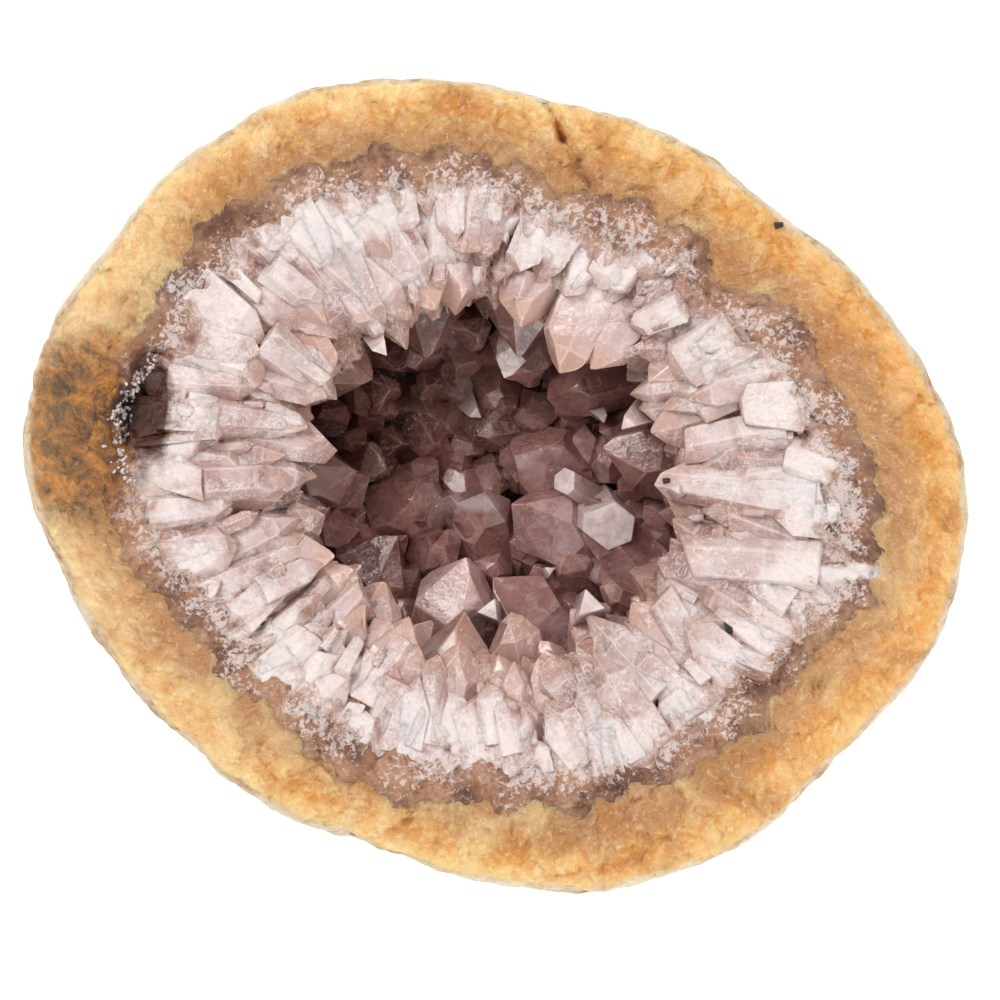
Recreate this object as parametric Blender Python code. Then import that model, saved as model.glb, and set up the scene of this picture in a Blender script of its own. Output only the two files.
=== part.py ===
"""Half of a quartz geode, lying on its rounded back with the broken face up.

From outside in it is a limonite-stained rind, a thin chalcedony band, a sugary
quartz base and the separate quartz crystals that grew from that base into the
hollow. Metres, +Z up, the origin under the middle of the stone on the surface
that it rests on.
"""

import math
import random

import bmesh
import bpy
from mathutils import Matrix, Vector, noise

# Driving dimensions of the stone.
HALF_LENGTH = 0.0449
HALF_WIDTH = 0.0375
LONG_AXIS_AZIMUTH = math.radians(-17)
FACE_HEIGHT = 0.0360
WIDEST_HEIGHT = 0.0310
DEPTH_BELOW_WIDEST = 0.0325
RIND_BULGE = 0.0008

# Layer thicknesses: at the broken face, and at the bottom of the stone.
RIND_AT_FACE, RIND_AT_BOTTOM = 0.0062, 0.0060
BAND_AT_FACE, BAND_AT_BOTTOM = 0.0030, 0.0030
BASE_AT_FACE, BASE_AT_BOTTOM = 0.0030, 0.0030
GAP = 0.0003

# Lobes of an outline: (azimuth in degrees, height in metres, half width in degrees).
STONE_LOBES = (
    (8, 0.0010, 18),
    (42, -0.0015, 12),
    (72, -0.0012, 14),
    (108, 0.0009, 18),
    (154, -0.0012, 12),
    (182, 0.0007, 12),
    (285, 0.0010, 18),
    (322, -0.0013, 10),
    (351, 0.0005, 10),
)
RIND_LOBES = ((10, 0.0014, 25), (150, -0.0010, 25), (215, 0.0008, 16), (250, -0.0016, 22))

# The hollow that the crystal tips leave open.
HOLLOW_HALF_LENGTH = 0.0190
HOLLOW_HALF_WIDTH = 0.0168
HOLLOW_DEPTH = 0.0170
HOLLOW_LEAN = Vector((-0.0018, 0.0018, 0.0))
HOLLOW_LOBES = ((62, -0.0048, 22), (140, 0.0010, 18), (245, -0.0018, 16), (305, 0.0014, 16))

# Rings of crystals, from the face down: (name, how many, degrees of the roots below the widest
# level, degrees of the tips below the face, azimuth of the first, root radius).
CRYSTAL_RINGS = (
    ("rim_crystal", 24, -6, 7, 4, 0.0056),
    ("wall_crystal", 16, 21, 31, 11, 0.0062),
    ("slope_crystal", 10, 46, 55, 0, 0.0071),
    ("floor_crystal", 6, 71, 76, 20, 0.0078),
)
CRYSTAL_SIDES = 6
SHOULDER_SHARE = 0.58
POINT_PER_RADIUS = 1.1
ROOT_OVERSHOOT = 0.0030

SURFACE_SEGMENTS = 44
SURFACE_RINGS = 18
ABOVE_FACE = 0.0030
SEED = 11


def lobed_radius(azimuth, half_length, half_width, lobes):
    """Radius of the stone's tilted ellipse at an azimuth, with the lobes added."""
    turn = azimuth - LONG_AXIS_AZIMUTH
    ellipse = half_length * half_width / math.hypot(
        half_width * math.cos(turn), half_length * math.sin(turn)
    )
    return ellipse + lobe_sum(azimuth, lobes)


def lobe_sum(azimuth, lobes):
    total = 0.0
    for centre, height, spread in lobes:
        off = math.remainder(azimuth - math.radians(centre), math.tau)
        total += height * math.exp(-((off / math.radians(spread)) ** 2))
    return total


def stone_radius(azimuth, inset):
    """Plan radius at the widest level, this far in from the skin. A deep inset follows the rind's lobes."""
    radius = lobed_radius(azimuth, HALF_LENGTH, HALF_WIDTH, STONE_LOBES)
    if inset > 0:
        radius -= inset + lobe_sum(azimuth, RIND_LOBES)
    return radius


def shaped_ball(inset_side, inset_bottom, rough=0.0):
    """A closed ball around the stone's middle, formed to the stone's outline less the insets."""
    ball = bmesh.new()
    bmesh.ops.create_uvsphere(
        ball, u_segments=SURFACE_SEGMENTS, v_segments=SURFACE_RINGS, radius=1.0
    )
    depth = DEPTH_BELOW_WIDEST - inset_bottom
    for vertex in ball.verts:
        way = vertex.co.copy()
        azimuth = math.atan2(way.y, way.x)
        radius = stone_radius(azimuth, inset_side)
        if inset_side == 0:
            radius += RIND_BULGE * max(0.0, math.cos(azimuth + math.radians(40)))
        knob = rough * (1 + way.z) * noise.fractal(way * 3.1, 0.8, 2.0, 3)
        vertex.co = Vector((way.x * radius, way.y * radius, way.z * depth)) + way * knob
    return ball


def cut_flat(solid, height, keep_below):
    """Cuts a solid by a level plane at a height over the stone's middle and closes the cut."""
    geometry = solid.verts[:] + solid.edges[:] + solid.faces[:]
    cut = bmesh.ops.bisect_plane(
        solid,
        geom=geometry,
        plane_co=(0, 0, height),
        plane_no=(0, 0, 1 if keep_below else -1),
        clear_outer=True,
    )
    rim = [item for item in cut["geom_cut"] if isinstance(item, bmesh.types.BMEdge)]
    bmesh.ops.edgeloop_fill(solid, edges=rim)
    bmesh.ops.recalc_face_normals(solid, faces=solid.faces)


def material(name, colour, roughness):
    made = bpy.data.materials.new(name)
    made.use_nodes = True
    shader = made.node_tree.nodes["Principled BSDF"]
    shader.inputs["Base Color"].default_value = (*colour, 1.0)
    shader.inputs["Roughness"].default_value = roughness
    return made


def add_object(name, solid, collection, parent, finish=None):
    mesh = bpy.data.meshes.new(name)
    solid.to_mesh(mesh)
    solid.free()
    made = bpy.data.objects.new(name, mesh)
    collection.objects.link(made)
    made.parent = parent
    if finish:
        mesh.materials.append(finish)
    return made


def hide_helper(helper):
    helper.hide_render = True
    helper.display_type = "WIRE"
    return helper


def boolean(target, operation, cutter):
    modifier = target.modifiers.new(operation.lower(), "BOOLEAN")
    modifier.operation = operation
    modifier.solver = "EXACT"
    modifier.object = cutter


def layer_bowl(name, outer_insets, inner_insets, finish, scene, rough=0.0):
    """One layer of the stone: a bowl between two insets, level with the face and with the resting flat."""
    solid = shaped_ball(*outer_insets, rough)
    cut_flat(solid, FACE_HEIGHT - WIDEST_HEIGHT, keep_below=True)
    if rough:
        cut_flat(solid, -WIDEST_HEIGHT, keep_below=False)
        bmesh.ops.triangulate(solid, faces=solid.faces)
    bowl = add_object(name, solid, scene["parts"], scene["stone"], finish)
    bowl.location.z = WIDEST_HEIGHT
    hollow = shaped_ball(*inner_insets)
    cut_flat(hollow, FACE_HEIGHT - WIDEST_HEIGHT + ABOVE_FACE, keep_below=True)
    cutter = hide_helper(
        add_object(f"{name}_hollow", hollow, scene["helpers"], scene["stone"])
    )
    cutter.location.z = WIDEST_HEIGHT
    boolean(bowl, "DIFFERENCE", cutter)
    return bowl


def stone_point(azimuth, below, inset_side, inset_bottom):
    """A point on the surface at these insets, this many radians below the widest level."""
    radius = stone_radius(azimuth, inset_side) * math.cos(below)
    depth = (DEPTH_BELOW_WIDEST - inset_bottom) * math.sin(below)
    return Vector(
        (radius * math.cos(azimuth), radius * math.sin(azimuth), WIDEST_HEIGHT - depth)
    )


def hollow_point(azimuth, below):
    """A point on the hollow that the tips leave open, this many radians below the face."""
    radius = lobed_radius(azimuth, HOLLOW_HALF_LENGTH, HOLLOW_HALF_WIDTH, HOLLOW_LOBES)
    radius *= math.cos(below)
    point = Vector((radius * math.cos(azimuth), radius * math.sin(azimuth), FACE_HEIGHT))
    return point + HOLLOW_LEAN * math.sin(below) - Vector((0, 0, HOLLOW_DEPTH * math.sin(below)))


def plan_crystals(inset_side, inset_bottom):
    """Where each crystal stands: its name, root, tip, root radius and turn about its own axis."""
    pick = random.Random(SEED)
    plans = []
    for ring, count, root_degrees, tip_degrees, first, root_radius in CRYSTAL_RINGS:
        for number in range(count):
            azimuth = math.radians(first + 360 * (number + pick.uniform(-0.16, 0.16)) / count)
            uneven = pick.uniform(-3.5, 3.5)
            root_below = math.radians(root_degrees + uneven)
            root = stone_point(azimuth, root_below, inset_side, inset_bottom)
            tip_below = math.radians(tip_degrees + uneven)
            tip = hollow_point(azimuth + pick.uniform(-0.05, 0.05), tip_below)
            tip = root.lerp(tip, pick.uniform(0.90, 1.08))
            plans.append(
                {
                    "name": f"{ring}_{number + 1:02d}",
                    "ring": ring,
                    "root": root,
                    "tip": tip,
                    "radius": root_radius * pick.uniform(0.92, 1.1),
                    "spin": pick.uniform(0, math.pi / 3),
                }
            )
    return plans


def crystal_matrix(plan):
    way = (plan["tip"] - plan["root"]).normalized()
    turn = way.to_track_quat("Z", "Y").to_matrix().to_4x4()
    return Matrix.Translation(plan["root"]) @ turn @ Matrix.Rotation(plan["spin"], 4, "Z")


def crystal_solid(plan):
    """A six-sided prism that narrows to its shoulder, with a six-sided point. Its origin is its root."""
    length = (plan["tip"] - plan["root"]).length
    shoulder = plan["radius"] * SHOULDER_SHARE
    point = shoulder * POINT_PER_RADIUS
    body = length - point + ROOT_OVERSHOOT
    solid = bmesh.new()
    bmesh.ops.create_cone(
        solid,
        cap_ends=True,
        segments=CRYSTAL_SIDES,
        radius1=plan["radius"] * 1.15,
        radius2=shoulder,
        depth=body,
        matrix=Matrix.Translation((0, 0, body / 2 - ROOT_OVERSHOOT)),
    )
    solid.faces.ensure_lookup_table()
    top = max(solid.faces, key=lambda face: face.calc_center_median().z)
    poked = bmesh.ops.poke(solid, faces=[top])
    poked["verts"][0].co.z = length
    return solid


def contact_plane(one, other):
    """The plane on which two neighbours met as they grew, as (point, normal towards the other), or None."""
    nearest = None
    for step in range(6):
        here = one["root"].lerp(one["tip"], step / 5)
        for other_step in range(6):
            there = other["root"].lerp(other["tip"], other_step / 5)
            space = (there - here).length
            if nearest is None or space < nearest:
                nearest = space
    if nearest > (one["radius"] + other["radius"]) * 1.15 + GAP:
        return None
    way = (one["tip"] - one["root"]).normalized() + (other["tip"] - other["root"]).normalized()
    way.normalize()
    middle, other_middle = (one["root"] + one["tip"]) / 2, (other["root"] + other["tip"]) / 2
    across = other_middle - middle
    across -= way * across.dot(way)
    share = one["radius"] / (one["radius"] + other["radius"])
    return middle.lerp(other_middle, share), across.normalized()


def trim_to_neighbours(solid, plan, plans, placed):
    """Cuts a crystal back, with half the gap, from each plane where a neighbour stopped it."""
    to_local = placed.inverted()
    for other in plans:
        if other is plan:
            continue
        first, second = (plan, other) if plans.index(plan) < plans.index(other) else (other, plan)
        found = contact_plane(first, second)
        if not found:
            continue
        point, normal = found
        if first is not plan:
            normal = -normal
        point = point - normal * GAP / 2
        cut = bmesh.ops.bisect_plane(
            solid,
            geom=solid.verts[:] + solid.edges[:] + solid.faces[:],
            plane_co=to_local @ point,
            plane_no=to_local.to_3x3() @ normal,
            clear_outer=True,
        )
        rim = [item for item in cut["geom_cut"] if isinstance(item, bmesh.types.BMEdge)]
        if rim:
            bmesh.ops.edgeloop_fill(solid, edges=rim)
    bmesh.ops.recalc_face_normals(solid, faces=solid.faces)


def grow_crystals(insets, finishes, scene):
    """The crystals of all rings, each kept inside the room that the quartz base leaves."""
    room = shaped_ball(insets[0] + GAP, insets[1] + GAP)
    cut_flat(room, FACE_HEIGHT - WIDEST_HEIGHT, keep_below=True)
    room = hide_helper(add_object("crystal_room", room, scene["helpers"], scene["stone"]))
    room.location.z = WIDEST_HEIGHT
    plans = plan_crystals(*insets)
    for plan in plans:
        placed = crystal_matrix(plan)
        solid = crystal_solid(plan)
        trim_to_neighbours(solid, plan, plans, placed)
        crystal = add_object(
            plan["name"], solid, scene["parts"], scene["stone"], finishes[plan["ring"]]
        )
        crystal.matrix_local = placed
        boolean(crystal, "INTERSECT", room)


def clear_scene():
    for leftover in list(bpy.data.objects):
        bpy.data.objects.remove(leftover, do_unlink=True)


def new_collection(name):
    made = bpy.data.collections.new(name)
    bpy.context.scene.collection.children.link(made)
    return made


def centre_on_footprint(stone, rind):
    """Moves the stone so that the middle of its footprint is over the origin."""
    bpy.context.view_layer.update()
    corners = [rind.matrix_world @ vertex.co for vertex in rind.data.vertices]
    for axis in (0, 1):
        low = min(corner[axis] for corner in corners)
        high = max(corner[axis] for corner in corners)
        stone.location[axis] = -(low + high) / 2


def main():
    clear_scene()
    scene = {"parts": new_collection("geode_half"), "helpers": new_collection("cutters")}
    stone = bpy.data.objects.new("stone_axis", None)
    scene["parts"].objects.link(stone)
    scene["stone"] = stone

    to_band = (RIND_AT_FACE, RIND_AT_BOTTOM)
    to_base = (to_band[0] + BAND_AT_FACE, to_band[1] + BAND_AT_BOTTOM)
    to_crystals = (to_base[0] + BASE_AT_FACE, to_base[1] + BASE_AT_BOTTOM)
    ochre = material("ochre_rind", (0.80, 0.42, 0.11), 0.65)
    brown = material("brown_chalcedony", (0.36, 0.20, 0.12), 0.45)
    white = material("sugary_quartz", (0.80, 0.72, 0.70), 0.55)
    pale = material("pale_quartz", (0.72, 0.58, 0.55), 0.25)
    smoky = material("smoky_quartz", (0.20, 0.11, 0.10), 0.20)

    rind = layer_bowl("rind", (0.0, 0.0), to_band, ochre, scene, rough=0.0011)
    for name, outer, inner, finish in (
        ("chalcedony_band", to_band, to_base, brown),
        ("quartz_base", to_base, to_crystals, white),
    ):
        inside_gap = tuple(inset + GAP for inset in outer)
        layer_bowl(name, inside_gap, inner, finish, scene)
    finishes = {
        "rim_crystal": pale,
        "wall_crystal": pale,
        "slope_crystal": smoky,
        "floor_crystal": smoky,
    }
    grow_crystals(to_crystals, finishes, scene)
    centre_on_footprint(stone, rind)


main()
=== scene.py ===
"""Half of a quartz geode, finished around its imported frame.

The stone lies on its rounded back with the broken face up. Each layer is a sheet that is rolled up and
folded into a bowl. The quartz is grown as six-sided crystals: one large crystal for each crystal of the
frame, with small ones crowded between them.
"""

import math
import random

import bpy
import numpy as np
from mathutils import Matrix, Vector, noise
from mathutils.bvhtree import BVHTree


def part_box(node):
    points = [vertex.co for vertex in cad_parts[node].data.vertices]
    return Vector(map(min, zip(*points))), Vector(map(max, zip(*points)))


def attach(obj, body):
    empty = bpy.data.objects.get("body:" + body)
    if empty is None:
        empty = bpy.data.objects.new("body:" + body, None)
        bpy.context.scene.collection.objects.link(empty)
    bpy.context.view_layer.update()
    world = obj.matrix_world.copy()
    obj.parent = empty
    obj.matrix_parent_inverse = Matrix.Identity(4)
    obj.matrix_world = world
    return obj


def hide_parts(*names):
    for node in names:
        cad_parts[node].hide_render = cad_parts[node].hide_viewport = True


bl_info = {
    "name": "Geode half",
    "version": (1, 0, 0),
    "blender": (4, 5, 0),
    "location": "View3D > Sidebar > Geode",
    "description": "Builds half of a quartz geode around its packed frame",
    "category": "Add Mesh",
}

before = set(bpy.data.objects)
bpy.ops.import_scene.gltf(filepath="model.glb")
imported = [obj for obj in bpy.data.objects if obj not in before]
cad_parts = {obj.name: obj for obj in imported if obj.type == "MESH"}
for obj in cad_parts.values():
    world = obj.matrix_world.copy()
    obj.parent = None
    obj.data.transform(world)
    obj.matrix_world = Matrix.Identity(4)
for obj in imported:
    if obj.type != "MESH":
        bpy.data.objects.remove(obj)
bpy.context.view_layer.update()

# Heights of the broken face, of the stone's widest part and of each layer's lowest point, in metres.
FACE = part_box("rind")[1].z
WIDEST = FACE - 0.005
STONE_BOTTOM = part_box("rind")[0].z
BAND_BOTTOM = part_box("chalcedony_band")[0].z
BASE_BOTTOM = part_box("quartz_base")[0].z
# Where the crystals point, how far the hollow reaches from the middle, and how far below the face the
# quartz begins to give way under the rim of the hollow.
HOLLOW_MIDDLE = Vector((-0.0018, 0.0018, FACE + 0.004))
HOLLOW_RADIUS = 0.0176
LIP_DROP = 0.0064
# How many steps a ring around the stone has.
AROUND = 640
# How far each layer reaches under the next one.
OVERLAP = 0.0003
# The cracks wander by noise.noise_vector, which starts from the clock unless it is seeded.
CRACK_SEED = 1795118093
noise.seed_set(CRACK_SEED)
# The frame's rings of crystals, and what each is made of.
RINGS = {
    "rim_crystal": "pale_quartz",
    "wall_crystal": "pale_quartz",
    "slope_crystal": "smoky_quartz",
    "floor_crystal": "smoky_quartz",
}


# ---------------------------------------------------------------- settings


def colour(red, green, blue):
    """A display colour, 0 to 255, as the linear values that shaders take."""
    shares = (value / 255 for value in (red, green, blue))
    return tuple(s / 12.92 if s <= 0.04045 else ((s + 0.055) / 1.055) ** 2.4 for s in shares)


def colour_property(name, description, shade):
    return bpy.props.FloatVectorProperty(
        name=name, description=description, subtype="COLOR", size=3, min=0, max=1, default=shade
    )


def length_property(name, description, metres):
    return bpy.props.FloatProperty(
        name=name, description=description, unit="LENGTH", precision=5, min=0, default=metres
    )


def count_property(name, description, number):
    return bpy.props.IntProperty(name=name, description=description, min=1, default=number)


class GeodeShape(bpy.types.PropertyGroup):
    """Sizes of the stone's surface and of its crystals."""

    seed: bpy.props.IntProperty(name="Seed", description="Which stone is grown", default=7)
    knob_height: length_property("Knobs", "Height of the knobs on the skin", 0.0011)
    relief: length_property("Relief", "Height of the swells on the broken face", 0.0009)
    step: length_property("Steps", "Height of the steps on the broken face", 0.0005)
    crystal_bevel: length_property("Crystal edge", "Width of a crystal's worn edges", 0.00016)
    columns: count_property("Columns", "Quartz columns in each row across the broken face", 76)
    splinters: count_property("Splinters", "Small broken columns between the large ones", 240)
    rim_druse: count_property("Rim druse", "Small crystals around the rim of the hollow", 90)
    hollow_druse: count_property("Hollow druse", "Small crystals inside the hollow", 210)


class GeodeColours(bpy.types.PropertyGroup):
    """Colours of the stone's layers."""

    skin: colour_property("Skin", "Dusty crust outside", colour(214, 190, 158))
    rind_pale: colour_property("Pale rind", "Thin, pale parts of the rind", colour(246, 216, 152))
    rind: colour_property("Rind", "Ochre of the rind", colour(236, 178, 98))
    rind_deep: colour_property("Deep rind", "Iron-rich streaks in the rind", colour(216, 138, 50))
    band: colour_property("Band", "Brown chalcedony", colour(176, 128, 96))
    band_deep: colour_property("Deep band", "Smoky parts of the band", colour(122, 82, 66))
    frost: colour_property("Frost", "Sugary quartz", colour(245, 230, 226))
    quartz: colour_property("Quartz", "Clear pink quartz", colour(212, 184, 180))
    tip: colour_property("Tips", "Tan crystal tips", colour(210, 162, 132))
    # Mauve and Hollow are the quartz's own colours in the hollow, which the materials also use as painted
    # shade: darker with depth and on the upper-left wall.
    mauve: colour_property("Mauve", "Paler quartz in the hollow", colour(160, 114, 106))
    deep: colour_property("Hollow", "Darkest quartz in the hollow", colour(94, 50, 45))
    stain: colour_property("Stain", "Dark iron stain beside the small cavity", colour(70, 38, 16))


# ---------------------------------------------------------------- modelling helpers


def start_clean():
    """Leaves object mode as the mode, with nothing selected."""
    if bpy.context.object and bpy.context.object.mode != "OBJECT":
        bpy.ops.object.mode_set(mode="OBJECT")
    bpy.ops.object.select_all(action="DESELECT")


def finish_piece(piece, name, material, replaced=()):
    """Names a piece, gives it its material, hangs it on the root body, and hides the frame's nodes that it
    stands for.
    """
    piece.name = name
    piece.data.name = name
    piece.data.materials.clear()
    piece.data.materials.append(material)
    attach(piece, "root")
    if replaced:
        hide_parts(*replaced)


def smooth_ring(values, reach):
    """A closed ring of values, each averaged with its neighbours up to this many steps away."""
    total = np.zeros_like(values)
    full_weight = 0.0
    for step in range(-reach, reach + 1):
        weight = 0.5 + 0.5 * math.cos(math.pi * step / (reach + 1))
        total += weight * np.roll(values, step)
        full_weight += weight
    return total / full_weight


def node_tree(node):
    """A search tree over one of the frame's nodes, for casting rays at it."""
    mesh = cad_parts[node].data
    return BVHTree.FromPolygons(
        [vertex.co for vertex in mesh.vertices], [tuple(face.vertices) for face in mesh.polygons]
    )


def wall_radii(node, from_outside):
    """Distance from the middle to a layer's outer or inner wall just under the face, all around."""
    tree = node_tree(node)
    radii = []
    for step in range(AROUND):
        azimuth = math.tau * step / AROUND
        way = Vector((math.cos(azimuth), math.sin(azimuth), 0))
        start = way * (0.1 if from_outside else 0.0) + Vector((0, 0, FACE - 0.0004))
        hit = tree.ray_cast(start, -way if from_outside else way)[0]
        radii.append(math.hypot(hit.x, hit.y))
    return smooth_ring(np.array(radii), 14)


def wavy_ring(radii, size, height, seed):
    """A border that wanders in scallops of this size to both sides of a ring."""
    waved = []
    for step, radius in enumerate(radii):
        azimuth = math.tau * step / AROUND
        place = Vector((math.cos(azimuth), math.sin(azimuth), 0)) * radius / size
        bulge = noise.turbulence(place + Vector((0, 0, seed)), 3, False, amplitude_scale=0.6)
        waved.append(radius + height * (bulge - 0.45) * 2)
    return np.array(waved)


def hackle(place, size, seed):
    """Height of a surface broken into small tilted facets, from about -1 to 1."""
    spot = Vector((place[0] / size, place[1] / size, seed))
    nearest = noise.voronoi(spot)[1][0]
    tilt = noise.cell_vector(nearest * 41.7)
    off = spot - nearest
    return (tilt.x - 0.5) * off.x * 2.2 + (tilt.y - 0.5) * off.y * 2.2 + (tilt.z - 0.5)


def segment_distance(x, y, start, end):
    """Distance in the plane from a point to the line between two others."""
    run_x, run_y = end[0] - start[0], end[1] - start[1]
    along = ((x - start[0]) * run_x + (y - start[1]) * run_y) / (run_x**2 + run_y**2)
    along = min(1.0, max(0.0, along))
    return math.hypot(x - (start[0] + along * run_x), y - (start[1] + along * run_y))


# Cracks and the small side cavity of the broken face: (start, end, half width, depth), in metres.
CRACKS = (
    ((-0.0332, 0.0112), (-0.0342, 0.0052), 0.0014, 0.0042),
    ((-0.0354, 0.0076), (-0.0360, 0.0040), 0.0008, 0.0030),
    ((0.0042, 0.0385), (0.0062, 0.0330), 0.0005, 0.0020),
    ((0.0062, 0.0330), (0.0090, 0.0285), 0.0005, 0.0014),
)
# The line that the white crust follows beside the side cavity.
CRUST_LINE = ((-0.0326, 0.0122), (-0.0350, 0.0094), (-0.0362, 0.0066), (-0.0368, 0.0030), (-0.0352, 0.0000))


def face_relief(x, y, shape):
    """Height of the broken face above or below its mean level."""
    spot = Vector((x, y, 0.0))
    height = shape.relief * noise.fractal(spot / 0.013, 0.7, 2.1, 3)
    height += shape.step * 0.9 * hackle((x, y), 0.0028, 3.0)
    height += shape.step * 0.45 * hackle((x, y), 0.0011, 9.0)
    height += shape.step * 0.18 * noise.noise(spot / 0.0005)
    for start, end, half_width, depth in CRACKS:
        wander = noise.noise_vector(spot / 0.0022) * 0.0005
        apart = segment_distance(x + wander.x, y + wander.y, start, end)
        height -= depth * math.exp(-((apart / half_width) ** 2))
    return height


def skin_knobs(place, shape):
    """How far the skin stands out from the stone's even form."""
    swell = 0.55 * noise.fractal(place / 0.011, 0.8, 2.0, 3)
    nearest = noise.voronoi(place / 0.0045)[0]
    knob = 0.55 * (nearest[1] - nearest[0]) - 0.25
    pits = -0.5 * max(0.0, noise.noise(place / 0.0028 + Vector((5, 5, 5))) - 0.25)
    grain = 0.10 * noise.fractal(place / 0.0009, 0.7, 2.0, 2)
    return shape.knob_height * (swell + knob * 0.6 + pits + grain)


def float_attribute(mesh, name, values, domain="POINT"):
    made = mesh.attributes.new(name, "FLOAT", domain)
    made.data.foreach_set("value", np.asarray(values, np.float32))


def rolled_sheet(around, rings):
    """A flat grid with its step around and its ring number for every vertex, to be rolled into a bowl."""
    start_clean()
    bpy.ops.mesh.primitive_grid_add(x_subdivisions=around, y_subdivisions=rings, size=2.0)
    sheet = bpy.context.object
    flat = np.empty(len(sheet.data.vertices) * 3)
    sheet.data.vertices.foreach_get("co", flat)
    flat = flat.reshape(-1, 3)
    steps = np.rint((flat[:, 0] + 1) / 2 * around).astype(int) % around
    ring_numbers = np.rint((flat[:, 1] + 1) / 2 * rings).astype(int)
    return sheet, steps, ring_numbers


class Bowl:
    """A sheet rolled up and folded into a closed bowl with a level rim.

    outer and inner are the rim's two radii all around, bottoms the outer and inner lowest heights, and
    rings how many rings of faces the outer wall, the rim and the inner wall have."""

    def __init__(self, outer, inner, bottoms, rings, shape, is_skin=False):
        self.sheet, self.steps, self.rings = rolled_sheet(AROUND, sum(rings))
        first_rim, last_rim = rings[0], rings[0] + rings[1]
        self.on_rim = (self.rings > first_rim) & (self.rings <= last_rim)
        azimuths = self.steps * math.tau / AROUND
        across = np.column_stack((np.cos(azimuths), np.sin(azimuths)))
        thickness = (outer - inner)[self.steps]
        self.rim_share = np.clip((self.rings - first_rim) / rings[1], 0, 1)
        self.inward = thickness * self.rim_share
        radii = outer[self.steps] - self.inward
        heights = np.full(len(radii), FACE)
        for bottom, walls, share in (
            (bottoms[0], self.rings <= first_rim, 1 - self.rings / first_rim),
            (bottoms[1], self.rings > last_rim, (self.rings - last_rim) / rings[2]),
        ):
            start = -math.asin((FACE - WIDEST) / (WIDEST - bottom))
            angles = start + (math.pi / 2 - start) * share[walls]
            radii[walls] *= np.cos(angles) / math.cos(start)
            heights[walls] = WIDEST - (WIDEST - bottom) * np.sin(angles)
        self.places = np.column_stack((across * radii[:, None], heights))
        self.roughen(shape, is_skin)

    def roughen(self, shape, is_skin):
        """Gives the rim its broken relief, and a skin its knobs and worn edge."""
        for index, (x, y, z) in enumerate(self.places):
            below = FACE - z
            inward = self.inward[index]
            if below < 0.008:
                self.places[index, 2] += face_relief(x, y, shape) * math.exp(-below / 0.0020)
            if is_skin and inward < 0.006:
                place = Vector((x, y, z))
                out = (place - Vector((0, 0, WIDEST))).normalized()
                knobs = skin_knobs(place, shape) * math.exp(-inward / 0.0012)
                worn = 0.0006 * math.exp(-inward / 0.0006) * math.exp(-below / 0.0015)
                self.places[index] += np.array(out * knobs - Vector((0, 0, worn)))
        self.places[:, 2] = np.maximum(self.places[:, 2], STONE_BOTTOM)

    def build(self, **values):
        """Moves the sheet into place, closes its seam and poles, and stores what its material reads."""
        mesh = self.sheet.data
        mesh.vertices.foreach_set("co", self.places.ravel())
        float_attribute(mesh, "inward", self.inward)
        for name, numbers in values.items():
            float_attribute(mesh, name, numbers)
        bpy.context.view_layer.objects.active = self.sheet
        bpy.ops.object.mode_set(mode="EDIT")
        bpy.ops.mesh.select_all(action="SELECT")
        bpy.ops.mesh.remove_doubles(threshold=0.000001)
        bpy.ops.mesh.normals_make_consistent(inside=False)
        bpy.ops.object.mode_set(mode="OBJECT")
        mesh.shade_smooth()
        return self.sheet


# ---------------------------------------------------------------- crystals


# How far a quartz point's faces look sideways, and how far up.
POINT_OUT, POINT_UP = 0.786, 0.618
GOLDEN_ANGLE = 2.39996


def cut_by_plane(point, normal):
    """Takes away what lies past a plane from the mesh in edit mode, and closes the cut."""
    bpy.ops.mesh.select_all(action="SELECT")
    bpy.ops.mesh.bisect(plane_co=point, plane_no=normal, use_fill=True, clear_outer=True)


def crystal_template(slender, pick, edge=0.07, sides=6, broken=0, tilt=0.7):
    """A crystal of unit root radius along +Z: a prism with unequal sides, cut to a point by one slanted
    plane for each side, with worn edges. A broken one ends in this many breaks instead."""
    start_clean()
    bpy.ops.mesh.primitive_cylinder_add(
        vertices=sides, radius=1.0, depth=slender * 1.4, location=(0, 0, slender * 0.7)
    )
    crystal = bpy.context.object
    bpy.ops.object.transform_apply(location=True, rotation=False, scale=False)
    bpy.ops.object.mode_set(mode="EDIT")
    turns = [math.pi / 2 + math.pi * (2 * side + 1) / sides for side in range(sides)]
    for turn in turns:
        lean = Vector((math.cos(turn), math.sin(turn), pick.uniform(0.02, 0.10)))
        cut_by_plane(lean * math.cos(math.pi / sides) * pick.uniform(0.76, 0.97), lean.normalized())
    for _ in range(broken):
        turn = pick.uniform(0, math.tau)
        lean = tilt * pick.uniform(0.2, 1.0)
        way = Vector((math.cos(turn) * lean, math.sin(turn) * lean, 1)).normalized()
        cut_by_plane((0, 0, slender * pick.uniform(0.86, 1.0)), way)
    for number, turn in enumerate([] if broken else turns):
        way = Vector((math.cos(turn) * POINT_OUT, math.sin(turn) * POINT_OUT, POINT_UP))
        high = slender - (0.0 if number % 2 else pick.uniform(-0.05, 0.35))
        cut_by_plane((0, 0, high + pick.uniform(-0.12, 0.0)), way)
    bpy.ops.object.mode_set(mode="OBJECT")
    bevel_edges(crystal, edge, pick)
    return crystal


def bevel_edges(piece, width, pick):
    """Wears a crystal's edges, and gives each face the attribute "facet": 2 on the narrow new faces,
    and a tone of its own from 0 to 1 on every other."""
    for _ in range(2):
        piece.data.materials.append(None)
    modifier = piece.modifiers.new("worn_edges", "BEVEL")
    modifier.width = width
    modifier.segments = 1
    modifier.limit_method = "ANGLE"
    modifier.angle_limit = math.radians(12)
    modifier.material = 1
    bpy.context.view_layer.objects.active = piece
    bpy.ops.object.modifier_apply(modifier=modifier.name)
    facets = [2.0 if face.material_index else pick.random() for face in piece.data.polygons]
    float_attribute(piece.data, "facet", facets, "FACE")
    piece.data.polygons.foreach_set("material_index", [0] * len(facets))


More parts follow.
